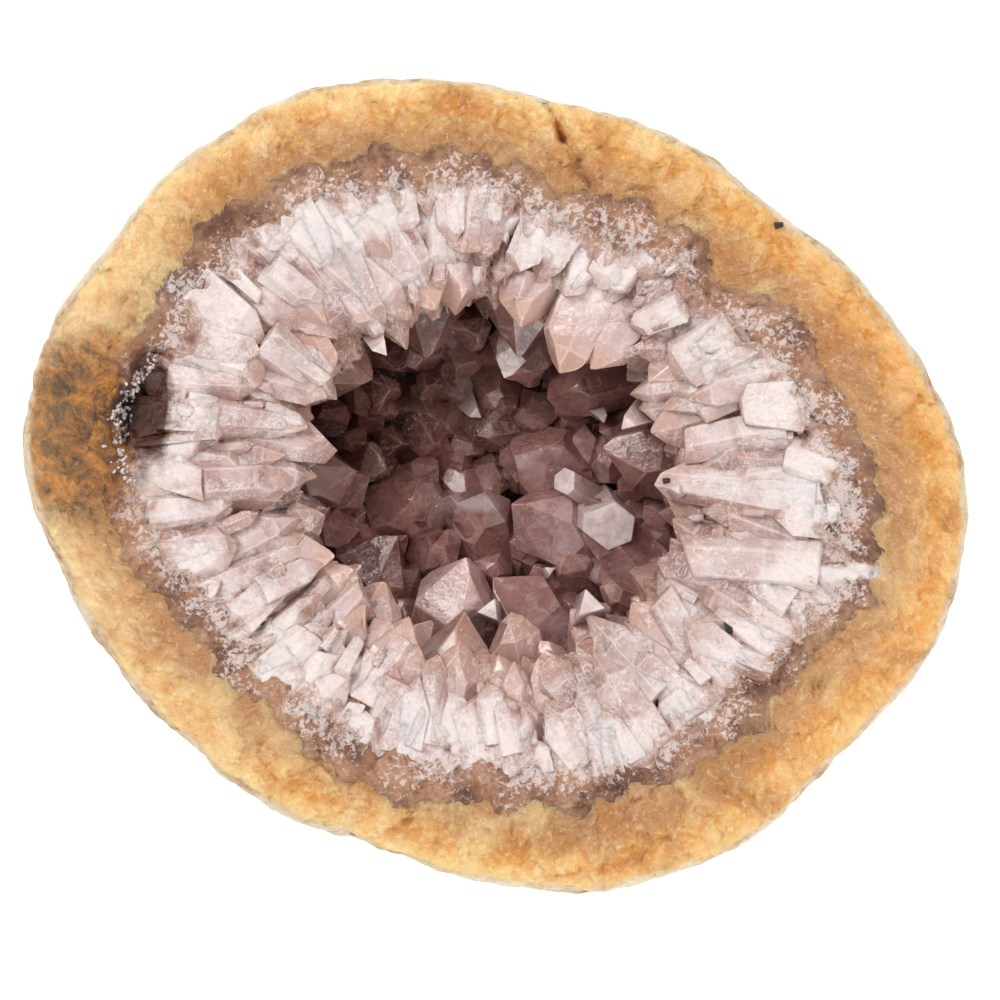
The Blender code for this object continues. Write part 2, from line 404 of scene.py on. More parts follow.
def soften(piece):
    """Lets the light run round a piece's worn edges while its facets stay flat."""
    start_clean()
    piece.select_set(True)
    bpy.context.view_layer.objects.active = piece
    bpy.ops.object.shade_smooth()
    modifier = piece.modifiers.new("flat_facets", "WEIGHTED_NORMAL")
    modifier.weight = 100
    bpy.ops.object.modifier_apply(modifier=modifier.name)
    return piece


def mesh_arrays(mesh):
    """A mesh's vertices as an array, its faces as lists of vertex numbers, and their facet tones."""
    points = np.empty(len(mesh.vertices) * 3)
    mesh.vertices.foreach_get("co", points)
    facets = [item.value for item in mesh.attributes["facet"].data]
    return points.reshape(-1, 3), [tuple(face.vertices) for face in mesh.polygons], facets


class Druse:
    """Collects many copies of a few crystal templates into one mesh."""

    def __init__(self, templates):
        self.templates = [mesh_arrays(template.data) for template in templates]
        self.points, self.faces, self.facets, self.grown, self.tone, self.above = [], [], [], [], [], []
        self.count = 0
        for leftover in templates:
            bpy.data.objects.remove(leftover, do_unlink=True)

    def add(self, pick, root, way, radius, length):
        """Adds a copy of one of the templates, turned at random about its own length."""
        points, faces, facets = pick.choice(self.templates)
        tallest = points[:, 2].max()
        spin = Matrix.Rotation(pick.uniform(0, math.tau), 3, "Z")
        turn = way.normalized().to_track_quat("Z", "Y").to_matrix() @ spin
        scaled = points * np.array([radius, radius, length / tallest])
        self.points.append(scaled @ np.array(turn).T + np.array(root))
        self.faces.extend(tuple(number + self.count for number in face) for face in faces)
        shift = pick.random()
        self.facets.extend(tone if tone > 1 else (tone + shift) % 1 for tone in facets)
        self.grown.append(points[:, 2] / tallest)
        axis = root[2] + way[2] * length * points[:, 2] / tallest
        self.above.append((self.points[-1][:, 2] - axis) / radius)
        self.tone.append(np.full(len(points), pick.random()))
        self.count += len(points)

    def build(self, **values):
        """Puts the crystals into one mesh, and stores what its material reads."""
        start_clean()
        bpy.ops.mesh.primitive_cube_add()
        piece = bpy.context.object
        mesh = piece.data
        mesh.clear_geometry()
        mesh.from_pydata(np.vstack(self.points).tolist(), [], self.faces)
        float_attribute(mesh, "facet", self.facets, "FACE")
        float_attribute(mesh, "grown", np.concatenate(self.grown))
        float_attribute(mesh, "tone", np.concatenate(self.tone))
        for key, numbers in values.items():
            float_attribute(mesh, key, numbers)
        mesh.update()
        return soften(piece)


def frame_crystal(node):
    """Root, tip and half width of one of the frame's crystals."""
    points = np.array([vertex.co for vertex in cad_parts[node].data.vertices])
    far = np.linalg.norm(points - np.array(HOLLOW_MIDDLE), axis=1)
    tip = Vector(points[far.argmin()])
    root_side = points[far > far.max() - 0.35 * (far.max() - far.min())]
    root = Vector(root_side.mean(axis=0))
    way = (tip - root).normalized()
    off = points - np.array(root)
    off -= np.outer(off @ np.array(way), np.array(way))
    return root, tip, float(np.median(np.linalg.norm(off, axis=1)))


def jitter(pick, size):
    return Vector([pick.uniform(-size, size) for _ in range(3)])


def build_large_crystals(ring, material, shape, outer):
    """One finished crystal for every crystal of a ring of the frame."""
    pick = random.Random(f"{shape.seed} {ring}")
    for node in sorted(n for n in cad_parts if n.startswith(ring)):
        root, tip, half_width = frame_crystal(node)
        way = ((tip - root).normalized() + jitter(pick, 0.16)).normalized()
        if ring == "rim_crystal":
            root.z -= pick.uniform(0.0016, 0.0028)
        length = (tip - root).length * pick.uniform(0.95, 1.15)
        radius = half_width * pick.uniform(0.9, 1.3)
        crystal = crystal_template(length / radius, pick, shape.crystal_bevel / radius)
        turn = way.to_track_quat("Z", "Y").to_matrix() @ Matrix.Rotation(
            pick.uniform(0, math.pi), 3, "Z"
        )
        mesh = crystal.data
        tallest = max(vertex.co.z for vertex in mesh.vertices)
        grown = [vertex.co.z / tallest for vertex in mesh.vertices]
        mesh.transform(Matrix.Translation(root) @ turn.to_4x4() @ Matrix.Scale(radius, 4))
        for vertex in mesh.vertices:
            inward = ring_value(outer, math.atan2(vertex.co.y, vertex.co.x)) - vertex.co.xy.length
            vertex.co.z = min(vertex.co.z, FACE - 0.0014 - 0.20 * max(0.0, inward))
        float_attribute(mesh, "grown", grown)
        float_attribute(mesh, "tone", [pick.random()] * len(mesh.vertices))
        soften(crystal)
        finish_piece(crystal, f"{ring[:-8]}_quartz_{node[-2:]}", material, (node,))


def template_set(pick, count, **kind):
    return [crystal_template(pick.uniform(2.2, 4.2), pick, **kind) for _ in range(count)]


def ring_value(radii, azimuth):
    return float(radii[round(azimuth / math.tau * AROUND) % AROUND])


def spread_azimuths(pick, count):
    return [math.tau * (number + pick.uniform(-0.45, 0.45)) / count for number in range(count)]


# Rows of columns across the broken face: how far from the band to the hollow their tips come, how deep
# the tips lie below the face, and how many columns there are for the number set.
COLUMN_ROWS = (
    (0.36, 0.0002, 0.70),
    (0.60, 0.0010, 0.85),
    (0.82, 0.0024, 0.85),
    (1.00, 0.0040, 0.80),
)


def quartz_columns(shape, outer):
    """Quartz columns that lie side by side in the face like shingles and point at the hollow."""
    pick = random.Random(f"{shape.seed} columns")
    druse = Druse(template_set(pick, 12) + template_set(pick, 3, broken=2))
    for share, depth, crowd in COLUMN_ROWS:
        for azimuth in spread_azimuths(pick, round(shape.columns * crowd)):
            add_column(druse, pick, azimuth, outer, share, depth, pick.uniform(0.0019, 0.0038))
    for azimuth in spread_azimuths(pick, shape.splinters):
        share = pick.uniform(0.05, 0.90)
        add_column(druse, pick, azimuth, outer, share, share * 0.0034, pick.uniform(0.0005, 0.0014))
    return druse


def add_column(druse, pick, azimuth, outer, share, depth, size):
    """One column, with its tip this share of the way to the hollow and its root no farther out than
    the band."""
    across = Vector((math.cos(azimuth), math.sin(azimuth), 0))
    border = ring_value(outer, azimuth)
    tip_radius = border + share * (HOLLOW_RADIUS - border) + pick.uniform(-0.0024, 0.0024)
    tip = across * tip_radius
    tip.z = FACE - depth - size * 0.5 - pick.uniform(-0.0006, 0.0012)
    way = Vector((HOLLOW_MIDDLE.x, HOLLOW_MIDDLE.y, tip.z)) - tip
    way = (way.normalized() + jitter(pick, 0.36)).normalized()
    length = min(size * pick.uniform(2.8, 4.8), border - tip_radius + 0.0008)
    druse.add(pick, tip - way * length, way, min(size, length * 0.5), length)


def break_columns(druse, outer, shape):
    """Breaks the columns off along the broken face, and gives how far in from the band they are."""
    inward = []
    for points in druse.points:
        for point in points:
            x, y, z = point
            share = ring_value(outer, math.atan2(y, x)) - math.hypot(x, y)
            level = FACE + face_relief(x, y, shape) + min(0.0, share + 0.0006) * 0.9
            point[2] = min(z, level)
            inward.append(max(0.0, share))
    return inward


def drape_over_columns(bowl, druse):
    """Sinks a bowl's rim between the columns, so that it fills the gaps under them, and gives how much
    of a seam between columns each of its vertices is: its material paints shade there."""
    tree = BVHTree.FromPolygons(np.vstack(druse.points).tolist(), druse.faces)
    down = Vector((0, 0, -1))
    seam = np.zeros(len(bowl.places))
    for index in np.nonzero(bowl.on_rim)[0]:
        x, y, level = bowl.places[index]
        hit = tree.ray_cast(Vector((x, y, FACE + 0.01)), down)[0]
        share = min(1.0, bowl.inward[index] / 0.0040)
        floor = level - 0.0004 - 0.0066 * bowl.rim_share[index]
        top = floor if hit is None else max(hit.z - 0.0002, floor)
        bowl.places[index, 2] = min(level, top + (level - top) * max(0.0, 1 - share * 1.5))
        seam[index] = min(1.0, (level - bowl.places[index, 2]) / 0.0020)
    return seam


def undercut(bowl, lip, wall):
    """Moves a bowl's inner wall outwards from under its lip, to make room for crystals."""
    inner_wall = ~bowl.on_rim & (bowl.inward > 0)
    bowl.places[inner_wall, :2] *= (wall / lip)[bowl.steps[inner_wall]][:, None]
    bowl.places[inner_wall, 2] = np.minimum(bowl.places[inner_wall, 2], FACE - LIP_DROP)


# Small crystals in the hollow: name, what they are made of, how many degrees below the face they begin
# and end, their radii, and how far out of the wall their tips come, as shares of the way to the middle.
DRUSES = (
    ("rim_druse", "pale_quartz", (14, 32), (0.0018, 0.0032), (0.20, 0.38)),
    ("hollow_druse", "smoky_quartz", (28, 90), (0.0021, 0.0038), (0.14, 0.28)),
)


def small_crystals(name, shape, slopes, sizes, reach):
    """Small crystals crowded between the large ones, as many as the settings say."""
    pick = random.Random(f"{shape.seed} {name}")
    count = getattr(shape, name)
    druse = Druse(template_set(pick, 12))
    tree = node_tree("quartz_base")
    focus = Vector((HOLLOW_MIDDLE.x, HOLLOW_MIDDLE.y, FACE))
    low, high = (math.sin(math.radians(slope)) for slope in slopes)
    for number in range(count):
        azimuth = number * GOLDEN_ANGLE
        drop = low + (high - low) * (number + pick.random()) / count
        flat = math.sqrt(1 - drop * drop)
        way = Vector((math.cos(azimuth) * flat, math.sin(azimuth) * flat, -drop))
        wall = tree.ray_cast(focus - Vector((0, 0, 0.0006)), way + jitter(pick, 0.05))[0]
        if wall is None:
            continue
        tip = wall.lerp(focus, pick.uniform(*reach))
        inwards = ((focus - wall).normalized() + jitter(pick, 0.35)).normalized()
        radius = pick.uniform(*sizes)
        length = min(radius * pick.uniform(3.0, 5.0), (tip - wall).length + 0.0025)
        druse.add(pick, tip - inwards * length, inwards, radius, length)
    return druse.build()


# ---------------------------------------------------------------- shader building


class Nodes:
    """Short names for adding and wiring the nodes of one tree."""

    def __init__(self, tree):
        self.tree = tree

    def add(self, kind, settings=None, **inputs):
        node = self.tree.nodes.new(kind)
        for key, value in (settings or {}).items():
            setattr(node, key, value)
        for key, value in inputs.items():
            self.feed(node.inputs[key.replace("_", " ")], value)
        return node

    def feed(self, socket, value):
        """Links a socket into another, or sets a plain value or a colour there."""
        if isinstance(value, bpy.types.NodeSocket):
            self.tree.links.new(value, socket)
        elif socket.type == "RGBA":
            socket.default_value = (*value, 1.0)
        else:
            socket.default_value = value

    def noise(self, vector, scale, detail=4.0, roughness=0.6, distortion=0.0):
        made = self.add("ShaderNodeTexNoise", None, Vector=vector, Scale=scale, Detail=detail)
        made.inputs["Roughness"].default_value = roughness
        made.inputs["Distortion"].default_value = distortion
        return made.outputs["Fac"]

    def wander(self, *noise):
        """Noise that goes to both sides of nothing."""
        return self.math("SUBTRACT", self.noise(*noise), 0.5)

    def span(self, value, low, high, start=0.0, end=1.0):
        """Maps low..high to start..end, held at both ends."""
        made = self.add("ShaderNodeMapRange", {"clamp": True})
        self.feed(made.inputs["Value"], value)
        for key, number in (("From Min", low), ("From Max", high), ("To Min", start), ("To Max", end)):
            self.feed(made.inputs[key], number)
        return made.outputs["Result"]

    def mix(self, share, one, other):
        made = self.add("ShaderNodeMix", {"data_type": "RGBA"})
        self.feed(made.inputs["Factor"], share)
        self.feed(made.inputs[6], one)
        self.feed(made.inputs[7], other)
        return made.outputs[2]

    def wash(self, under, value, low, high, most, shade):
        """Lays a shade over a colour as a value runs from low to high, up to this strength."""
        return self.mix(self.span(value, low, high, 0.0, most), under, shade)

    def glaze(self, under, mask, most, shade):
        """Lays a shade over a colour where a mask is 1, at this strength."""
        return self.mix(self.math("MULTIPLY", mask, most), under, shade)

    def math(self, operation, one, other=0.0):
        made = self.add("ShaderNodeMath", {"operation": operation})
        self.feed(made.inputs[0], one)
        self.feed(made.inputs[1], other)
        return made.outputs[0]

    def vector(self, operation, one, other=(0.0, 0.0, 0.0), output="Vector"):
        made = self.add("ShaderNodeVectorMath", {"operation": operation})
        self.feed(made.inputs[0], one)
        self.feed(made.inputs[1], other)
        return made.outputs[output]

    def split(self, vector):
        made = self.add("ShaderNodeSeparateXYZ")
        self.feed(made.inputs[0], vector)
        return made.outputs

    def total(self, first, *rest):
        """Adds up values, each with its own weight: (value, weight)."""
        summed = self.math("MULTIPLY", *first)
        for value, weight in rest:
            summed = self.math("ADD", summed, self.math("MULTIPLY", value, weight))
        return summed

    def attribute(self, name):
        made = self.add("ShaderNodeAttribute", {"attribute_name": name})
        return made.outputs["Fac"]

    def group(self, name, **inputs):
        """Places a shader group, made the first time that it is asked for, and gives its outputs."""
        tree = bpy.data.node_groups.get(name) or new_group(name)
        made = self.add("ShaderNodeGroup", {"node_tree": tree})
        for key, value in inputs.items():
            self.feed(made.inputs[key.replace("_", " ")], value)
        return made.outputs


def new_group(name):
    """Makes one of the shader groups in GROUPS, with its named inputs and outputs."""
    fill, inputs, outputs = GROUPS[name]
    tree = bpy.data.node_groups.new(name, "ShaderNodeTree")
    for way, sockets in (("INPUT", inputs), ("OUTPUT", outputs)):
        for label, kind in sockets.items():
            tree.interface.new_socket(label, in_out=way, socket_type=kind)
    nodes = Nodes(tree)
    fill(nodes, nodes.add("NodeGroupInput").outputs, nodes.add("NodeGroupOutput").inputs)
    return tree


def fill_mottle(nodes, given, out):
    """Three colours mixed in soft clouds and finer grains, and the grain's height."""
    clouds = nodes.noise(given["Vector"], given["Cloud Scale"], 5.0, 0.62, 0.4)
    grains = nodes.noise(given["Vector"], given["Grain Scale"], 3.0, 0.6)
    both = nodes.total((clouds, 0.7), (grains, 0.3))
    low = nodes.wash(given["Deep"], both, 0.36, 0.50, 1.0, given["Middle"])
    nodes.feed(out["Color"], nodes.wash(low, both, 0.50, 0.64, 1.0, given["Pale"]))
    nodes.feed(out["Height"], grains)


def fill_specks(nodes, given, out):
    """A mask of small crowded specks, denser where Amount is higher."""
    fine = nodes.noise(given["Vector"], given["Scale"], 6.0, 0.75, 0.6)
    edge = nodes.math("SUBTRACT", 0.72, nodes.math("MULTIPLY", given["Amount"], 0.4))
    nodes.feed(out["Mask"], nodes.span(fine, edge, nodes.math("ADD", edge, 0.06)))


def fill_facets(nodes, given, out):
    """Flat facets of broken crystal: the surface's height, a tone for each facet, and the borders."""
    cells = nodes.add("ShaderNodeTexVoronoi", None, Vector=given["Vector"], Scale=given["Scale"])
    off = nodes.vector("SUBTRACT", given["Vector"], cells.outputs["Position"])
    lean = nodes.vector("SUBTRACT", cells.outputs["Color"], (0.5, 0.5, 0.5))
    height = nodes.vector("DOT_PRODUCT", off, lean, "Value")
    nodes.feed(out["Height"], nodes.math("MULTIPLY", height, given["Slope"]))
    parts = nodes.add("ShaderNodeSeparateColor")
    nodes.feed(parts.inputs[0], cells.outputs["Color"])
    nodes.feed(out["Tone"], parts.outputs["Red"])
    settings = {"feature": "DISTANCE_TO_EDGE"}
    gaps = nodes.add("ShaderNodeTexVoronoi", settings, Vector=given["Vector"], Scale=given["Scale"])
    nodes.feed(out["Border"], nodes.span(gaps.outputs["Distance"], 0.0, 0.10, 1.0, 0.0))


def fill_crackle(nodes, given, out):
    """A mask of fine wandering cracks inside quartz."""
    lines = nodes.noise(given["Vector"], given["Scale"], 3.0, 0.6, 1.2)
    apart = nodes.math("ABSOLUTE", nodes.math("SUBTRACT", lines, 0.5))
    patches = nodes.span(nodes.noise(given["Vector"], 260.0, 3.0, 0.6), 0.38, 0.56)
    nodes.feed(out["Mask"], nodes.math("MULTIPLY", nodes.span(apart, 0.0, 0.042, 1.0, 0.0), patches))


def fill_spot(nodes, given, out):
    """A ragged spot: full within the first of two sizes and gone past the second."""
    off = nodes.vector("SUBTRACT", given["Vector"], given["Middle"])
    distance = nodes.vector("LENGTH", nodes.vector("MULTIPLY", off, given["Squeeze"]), output="Value")
    wander = nodes.wander(given["Vector"], 300.0, 5.0, 0.7, 0.5)
    ragged = nodes.total((distance, 1.0), (wander, given["Outer"]))
    nodes.feed(out["Mask"], nodes.span(ragged, given["Inner"], given["Outer"], 1.0, 0.0))


def spot(nodes, place, middle, squeeze, inner, outer):
    found = nodes.group("Spot", Vector=place, Middle=middle, Squeeze=squeeze, Inner=inner, Outer=outer)
    return found["Mask"]


def fill_stain(nodes, given, out):
    """Iron stain round the small side cavity, and the black in the cavity itself, over a clean colour."""
    place = given["Vector"]
    wide = spot(nodes, place, (-0.0400, 0.0050, 0.0355), (1.0, 0.80, 0.7), 0.0050, 0.0100)
    pit = spot(nodes, place, (-0.0337, 0.0070, 0.0350), (1.75, 0.75, 0.3), 0.0034, 0.0050)
    core = spot(nodes, place, (-0.0356, 0.0070, 0.0350), (1.5, 0.9, 0.4), 0.0011, 0.0022)
    blots = nodes.noise(place, 420.0, 5.0, 0.7, 0.8)
    rust = nodes.wash(given["Stain"], blots, 0.40, 0.64, 1.0, colour(206, 134, 52))
    shade = nodes.glaze(given["Clean"], wide, 0.85, rust)
    shade = nodes.glaze(shade, pit, 0.94, colour(78, 36, 18))
    nodes.feed(out["Color"], nodes.mix(core, shade, colour(20, 16, 16)))


def fill_vein(nodes, given, out):
    """A mask of the white vein that crosses the band on the right."""
    place = nodes.split(given["Vector"])
    off = nodes.total((place["Y"], 1.0), (nodes.wander(given["Vector"], 420.0, 4.0, 0.7), 0.0022))
    apart = nodes.math("ABSOLUTE", nodes.math("ADD", off, 0.0086))
    start = nodes.span(place["X"], 0.0240, 0.0290)
    stop = nodes.span(place["X"], 0.0372, 0.0352)
    ends = nodes.math("MULTIPLY", start, stop)
    nodes.feed(out["Mask"], nodes.math("MULTIPLY", nodes.span(apart, 0.0009, 0.0004), ends))


VECTOR, COLOUR, NUMBER = "NodeSocketVector", "NodeSocketColor", "NodeSocketFloat"
# The shader groups: what fills each, its inputs and its outputs.
GROUPS = {
    "Mottle": (
        fill_mottle,
        {
            "Vector": VECTOR,
            "Pale": COLOUR,
            "Middle": COLOUR,
            "Deep": COLOUR,
            "Cloud Scale": NUMBER,
            "Grain Scale": NUMBER,
        },
        {"Color": COLOUR, "Height": NUMBER},
    ),
    "Specks": (fill_specks, {"Vector": VECTOR, "Scale": NUMBER, "Amount": NUMBER}, {"Mask": NUMBER}),
    "Facets": (
        fill_facets,
        {"Vector": VECTOR, "Scale": NUMBER, "Slope": NUMBER},
        {"Height": NUMBER, "Tone": NUMBER, "Border": NUMBER},
    ),
    "Crackle": (fill_crackle, {"Vector": VECTOR, "Scale": NUMBER}, {"Mask": NUMBER}),
    "Spot": (
        fill_spot,
        {"Vector": VECTOR, "Middle": VECTOR, "Squeeze": VECTOR, "Inner": NUMBER, "Outer": NUMBER},
        {"Mask": NUMBER},
    ),
    "Stain": (fill_stain, {"Vector": VECTOR, "Clean": COLOUR, "Stain": COLOUR}, {"Color": COLOUR}),
    "Vein": (fill_vein, {"Vector": VECTOR}, {"Mask": NUMBER}),
}


# ---------------------------------------------------------------- materials


def new_material(name):
    """A material under exactly this name, which the frame's own materials must not have taken."""
    if name in bpy.data.materials:
        raise RuntimeError(f"there is a material named {name} already")
    made = bpy.data.materials.new(name)
    made.use_nodes = True
    nodes = Nodes(made.node_tree)
    shader = made.node_tree.nodes["Principled BSDF"].inputs
    coordinates = nodes.add("ShaderNodeTexCoord").outputs["Object"]
    return made, nodes, shader, coordinates


def set_constants(shader, **values):
    for key, value in values.items():
        shader[key.replace("_", " ")].default_value = value


def subsurface(shader, weight, radius, scale):
    set_constants(shader, Subsurface_Weight=weight, Subsurface_Radius=radius, Subsurface_Scale=scale)


def bump(nodes, shader, height, distance=1.0):
    made = nodes.add("ShaderNodeBump", None, Height=height, Distance=distance, Strength=1.0)
    nodes.feed(shader["Normal"], made.outputs["Normal"])


def radial(nodes, place):
    """Coordinates that run round the stone and out from its middle, for streaks that point inwards."""
    flat = nodes.vector("MULTIPLY", place, (1.0, 1.0, 0.0))
    around = nodes.vector("MULTIPLY", nodes.vector("NORMALIZE", flat), (0.028, 0.028, 0.0))
    distance = nodes.vector("LENGTH", flat, output="Value")
    outwards = nodes.add("ShaderNodeCombineXYZ")
    nodes.feed(outwards.inputs["Z"], nodes.math("MULTIPLY", distance, 0.25))
    return nodes.vector("ADD", around, outwards.outputs[0])


def marked(nodes, place, body, colours):
    """A layer's colour with what crosses all the layers: the white vein and the iron stain."""
    veined = nodes.mix(nodes.group("Vein", Vector=place)["Mask"], body, colours.frost)
    return nodes.group("Stain", Vector=place, Clean=veined, Stain=colours.stain)["Color"]


def rind_material(colours):
    """Dusty crust outside, and glowing ochre in rounded lumps on the broken face, painted paler as glow at
    its outer edge and on its left side.
    """
    made, nodes, shader, place = new_material("glowing_rind")
    inward = nodes.attribute("inward")
    mottled = nodes.group(
        "Mottle",
        Vector=place,
        Pale=colours.rind_pale,
        Middle=colours.rind,
        Deep=colours.rind_deep,
        Cloud_Scale=260.0,
        Grain_Scale=1500.0,
    )
    crust = nodes.group(
        "Mottle",
        Vector=place,
        Pale=colour(232, 214, 184),
        Middle=colours.skin,
        Deep=colour(158, 112, 62),
        Cloud_Scale=170.0,
        Grain_Scale=1100.0,
    )
    wander = nodes.wander(place, 420.0, 5.0, 0.7, 0.8)
    warp = nodes.add("ShaderNodeTexNoise", None, Vector=place, Scale=350.0, Detail=3.0)
    swirl = nodes.vector("MULTIPLY", warp.outputs["Color"], (0.0022, 0.0022, 0.0022))
    warped = nodes.vector("ADD", place, swirl)
    chunks = nodes.group("Facets", Vector=warped, Scale=250.0, Slope=0.7)
    crumbs = nodes.group("Facets", Vector=warped, Scale=800.0, Slope=0.7)
    lump = nodes.total((chunks["Tone"], 0.7), (crumbs["Tone"], 0.4), (wander, 0.8))
    ochre = nodes.wash(mottled["Color"], lump, 0.45, 0.95, 0.85, colour(248, 212, 158))
    ochre = nodes.glaze(ochre, chunks["Border"], 0.5, colours.rind_deep)
    edge = nodes.total((inward, 1.0), (wander, 0.0014))
    # Painted glow: the outer edge of the broken face is washed paler.
    ochre = nodes.wash(ochre, edge, 0.0022, 0.0006, 0.6, colour(252, 224, 160))
    across = nodes.split(place)["X"]
    # Deeper ochre towards the right, and paler towards the left as painted glow.
    ochre = nodes.wash(ochre, across, 0.0, 0.040, 0.40, colour(238, 158, 58))
    ochre = nodes.wash(ochre, across, -0.018, -0.040, 0.45, colour(250, 224, 178))
    inner = nodes.total((inward, 1.0), (wander, 0.0060))
    ochre = nodes.wash(ochre, inner, 0.0028, 0.0058, 0.85, colour(194, 142, 98))
    patches = nodes.noise(place, 120.0, 4.0, 0.6, 0.8)
    ochre = nodes.wash(ochre, patches, 0.53, 0.67, 0.60, colour(188, 122, 58))
    ochre = nodes.wash(ochre, patches, 0.47, 0.35, 0.45, colour(252, 220, 160))
    specks = nodes.group("Specks", Vector=place, Scale=1500.0, Amount=0.42)["Mask"]
    ochre = nodes.glaze(ochre, specks, 0.3, colour(255, 240, 205))
    is_face = nodes.span(edge, 0.0001, 0.0005)
    nodes.feed(shader["Base Color"], nodes.mix(is_face, crust["Color"], marked(nodes, place, ochre, colours)))
    nodes.feed(shader["Roughness"], nodes.span(is_face, 0.0, 1.0, 0.85, 0.45))
    subsurface(shader, 0.6, (1.0, 0.6, 0.3), 0.0025)
    grain = nodes.math("ADD", nodes.noise(place, 900.0, 6.0, 0.7), nodes.noise(place, 2600.0, 2.0, 0.5))
    bump(nodes, shader, nodes.total((grain, 0.0004), (chunks["Height"], 1.0), (crumbs["Height"], 1.0)))
    return made


def band_material(colours):
    """Brown, smoky chalcedony that turns grainy and white towards the quartz."""
    made, nodes, shader, place = new_material("grainy_band")
    mottled = nodes.group(
        "Mottle",
        Vector=place,
        Pale=colour(200, 158, 132),
        Middle=colours.band,
        Deep=colours.band_deep,
        Cloud_Scale=260.0,
        Grain_Scale=1800.0,
    )
    smoke = nodes.noise(place, 150.0, 4.0, 0.65, 0.6)
    smoky = nodes.wash(mottled["Color"], smoke, 0.50, 0.64, 0.75, colour(98, 62, 46))
    towards = nodes.span(nodes.attribute("inward"), 0.0, 0.0032)
    amount = nodes.total((nodes.noise(place, 170.0, 4.0, 0.65), 1.5), (towards, 0.35))
    amount = nodes.math("SUBTRACT", amount, 0.47)
    specks = nodes.group("Specks", Vector=place, Scale=1700.0, Amount=amount)["Mask"]
    frosted = nodes.glaze(smoky, specks, 0.68, colours.frost)
    nodes.feed(shader["Base Color"], marked(nodes, place, frosted, colours))
    nodes.feed(shader["Roughness"], nodes.span(mottled["Height"], 0.3, 0.7, 0.3, 0.55))
    subsurface(shader, 0.5, (1.0, 0.8, 0.7), 0.0015)
    bump(nodes, shader, nodes.noise(place, 1500.0, 5.0, 0.7), 0.0004)
    return made


def frost_material(colours):
    """Sugary quartz: white where it is crushed and grainy, brown by the band and pink near the hollow, with
    painted shade in the gaps between the columns, under them, and deeper down.
    """
    made, nodes, shader, place = new_material("frosted_quartz")
    inward = nodes.attribute("inward")
    tone = nodes.attribute("tone")
    facet = nodes.attribute("facet")
    seam = nodes.attribute("seam")
    streaks = nodes.noise(radial(nodes, place), 800.0, 5.0, 0.7, 0.5)
    coarse = nodes.group("Facets", Vector=place, Scale=520.0, Slope=0.35)
    fine = nodes.group("Facets", Vector=place, Scale=1900.0, Slope=0.5)
    clouds = nodes.noise(place, 300.0, 4.0, 0.6, 0.8)
    shade = nodes.total((facet, 0.14), (tone, 0.38), (clouds, 1.00), (coarse["Tone"], 0.20))
    body = nodes.wash(colour(166, 126, 118), shade, 0.45, 0.85, 1.0, colours.quartz)
    body = nodes.wash(body, shade, 0.85, 1.25, 1.0, colour(238, 224, 222))
    body = nodes.wash(body, nodes.attribute("grown"), 0.70, 1.05, 0.6, colours.tip)
    wander = nodes.wander(place, 300.0, 5.0, 0.7, 0.6)
    edge = nodes.total((inward, 1.0), (wander, 0.0070))
    ground = nodes.wash(colours.band, edge, -0.0004, 0.0026, 1.0, body)
    # Darker with depth: partly the smoky quartz, partly painted shade of the hollow.
    ground = nodes.wash(ground, nodes.split(place)["Z"], FACE - 0.004, FACE - 0.009, 1.0, colours.deep)
    # Painted shade: tan in the gaps between the columns and under them, where the seam attribute is high.
    ground = nodes.glaze(ground, seam, 0.85, colour(202, 158, 138))
    patches = nodes.noise(place, 105.0, 5.0, 0.62, 0.9)
    grains = nodes.noise(place, 2400.0, 4.0, 0.75, 0.4)
    rise = nodes.span(edge, -0.0020, 0.0012, -0.10, 0.14)
    fall = nodes.span(inward, 0.0040, 0.0110, 0.0, -0.42)
    amount = nodes.total(
        (patches, 1.05),
        (streaks, 0.50),
        (grains, 0.42),
        (tone, 0.12),
        (rise, 1.0),
        (fall, 1.0),
        # less frost where the seams are painted as shade
        (seam, -0.22),
    )
    white = nodes.span(amount, 1.00, 1.24)
    frosted = nodes.glaze(ground, white, 0.90, colours.frost)
    cracks = nodes.group("Crackle", Vector=place, Scale=850.0)["Mask"]
    frosted = nodes.glaze(frosted, cracks, 0.70, colour(252, 244, 242))
    # Tan on the worn edges: partly the crystals' tan edges, partly painted warm shade where the edges turn
    # from the light.
    frosted = nodes.wash(frosted, facet, 1.4, 1.6, 0.20, colour(234, 200, 178))
    nodes.feed(shader["Base Color"], marked(nodes, place, frosted, colours))
    nodes.feed(shader["Roughness"], nodes.span(white, 0.0, 1.0, 0.14, 0.5))
    set_constants(shader, IOR=1.55)
    subsurface(shader, 0.35, (1.0, 0.8, 0.7), 0.0004)
    height = nodes.total((coarse["Height"], 1.0), (fine["Height"], 1.0), (grains, 0.00016), (streaks, 0.0003))
    bump(nodes, shader, height)
    return made


